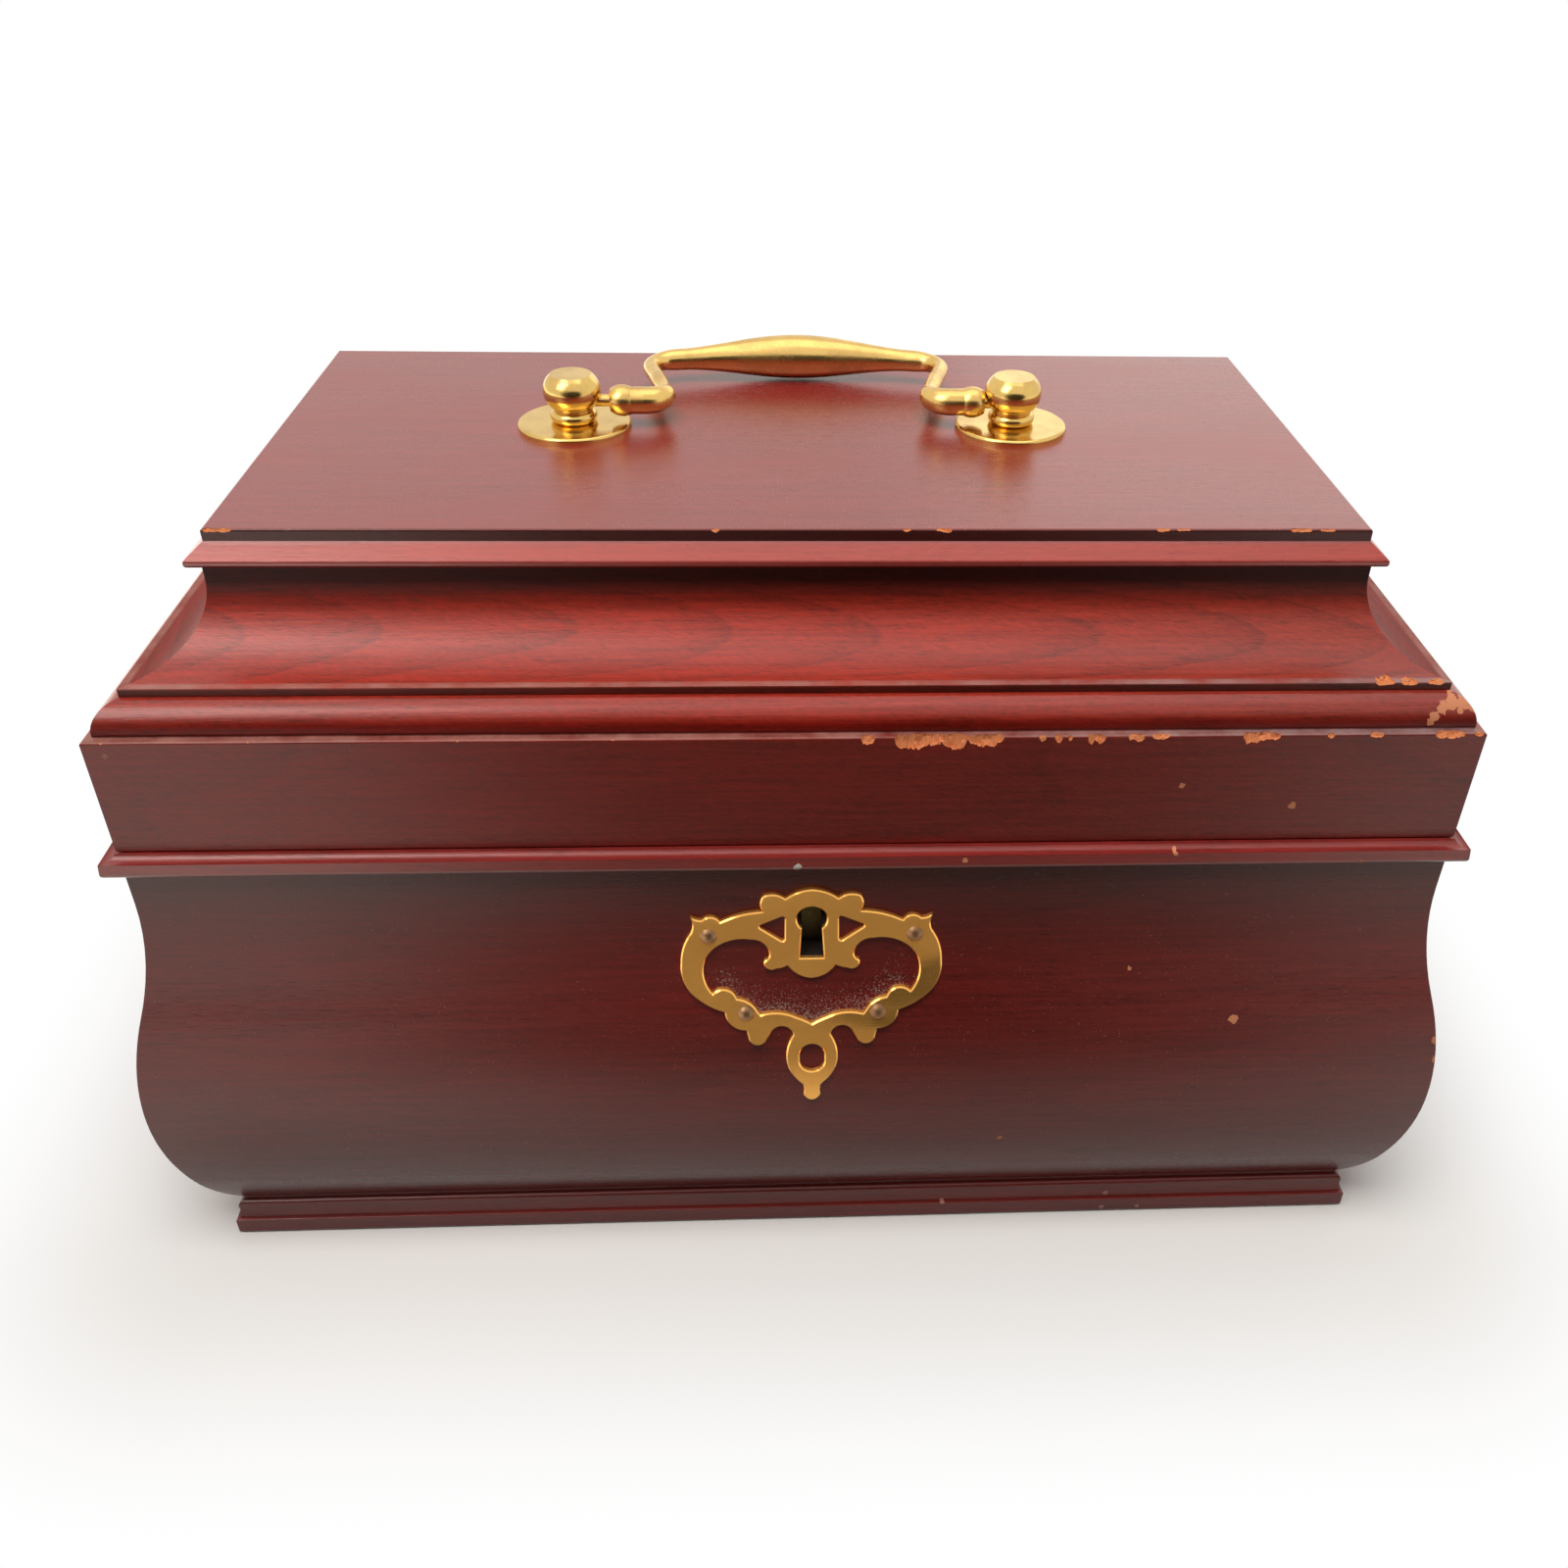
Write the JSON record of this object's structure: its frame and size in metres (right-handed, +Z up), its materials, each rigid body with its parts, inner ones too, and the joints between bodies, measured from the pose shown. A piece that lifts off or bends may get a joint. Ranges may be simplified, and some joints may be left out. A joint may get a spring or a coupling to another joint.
{
  "type": "tea caddy",
  "caption": "Chest-shaped wooden tea caddy with a hinged coved lid, folding brass bail, swelling mitred body, divided wells and a box lock behind a pierced escutcheon.",
  "frame": {"origin": "on the floor, under the middle of the body", "axes": "+Z up, front with the escutcheon towards -Y, length left to right along X"},
  "size_m": [0.264, 0.1589, 0.1681],
  "materials": {
    "mahogany": "satin lacquer over red-brown stain",
    "lining_wood": "plain wiped oil",
    "bright_brass": "polished and lacquered",
    "dull_brass": "tarnished",
    "lock_steel": "plain",
    "baize": "napped wool cloth"
  },
  "bodies": {
    "case": {"front_panel": "mahogany", "plinth_front": "mahogany", "rim_front": "mahogany", "right_panel": "mahogany", "plinth_right": "mahogany", "rim_right": "mahogany", "back_panel": "mahogany", "plinth_back": "mahogany", "rim_back": "mahogany", "left_panel": "mahogany", "plinth_left": "mahogany", "rim_left": "mahogany", "bottom_board": "mahogany", "lining_front": "lining_wood", "lining_back": "lining_wood", "lining_left": "lining_wood", "lining_right": "lining_wood", "partition_left": "lining_wood", "partition_right": "lining_wood", "escutcheon": "bright_brass", "lock_plate": "bright_brass", "lock_screws": "bright_brass", "hinge_body_leaf_left": "bright_brass", "hinge_body_leaf_right": "bright_brass", "hinge_pin_left": "bright_brass", "hinge_pin_right": "bright_brass", "hinge_body_screws": "bright_brass", "escutcheon_pins": "dull_brass", "lock_case": "lock_steel", "lock_spring": "lock_steel", "lock_drill_pin": "lock_steel", "well_baize": "baize"},
    "lid": {"lid_frieze_front": "mahogany", "lid_cove_front": "mahogany", "lid_frieze_right": "mahogany", "lid_cove_right": "mahogany", "lid_frieze_back": "mahogany", "lid_cove_back": "mahogany", "lid_frieze_left": "mahogany", "lid_cove_left": "mahogany", "lid_top_board": "mahogany", "link_plate": "bright_brass", "link_plate_screws": "bright_brass", "hinge_lid_leaf_left": "bright_brass", "hinge_lid_leaf_right": "bright_brass", "hinge_lid_screws": "bright_brass", "handle_post_left": "bright_brass", "handle_post_right": "bright_brass", "handle_rose_left": "bright_brass", "handle_rose_right": "bright_brass", "handle_washers": "bright_brass", "handle_nuts": "bright_brass"},
    "bail": {"bail_handle": "bright_brass"},
    "lock_bolt_body": {"lock_bolt": "lock_steel"}
  },
  "joints": [
    {"name": "lid_hinge", "type": "hinge", "parent": "case", "child": "lid", "pos_m": [0, 0.0725, 0.10433], "axis": [-1, 0, 0], "range_deg": [0, 95]},
    {"name": "bail_pivot", "type": "hinge", "parent": "lid", "child": "bail", "pos_m": [0, 0.0015, 0.16274], "axis": [1, 0, 0], "range_deg": [0, 181.5]},
    {"name": "lock_bolt_slide", "type": "slide", "parent": "case", "child": "lock_bolt_body", "axis": [1, 0, 0], "range_m": [0, 0.005]}
  ]
}
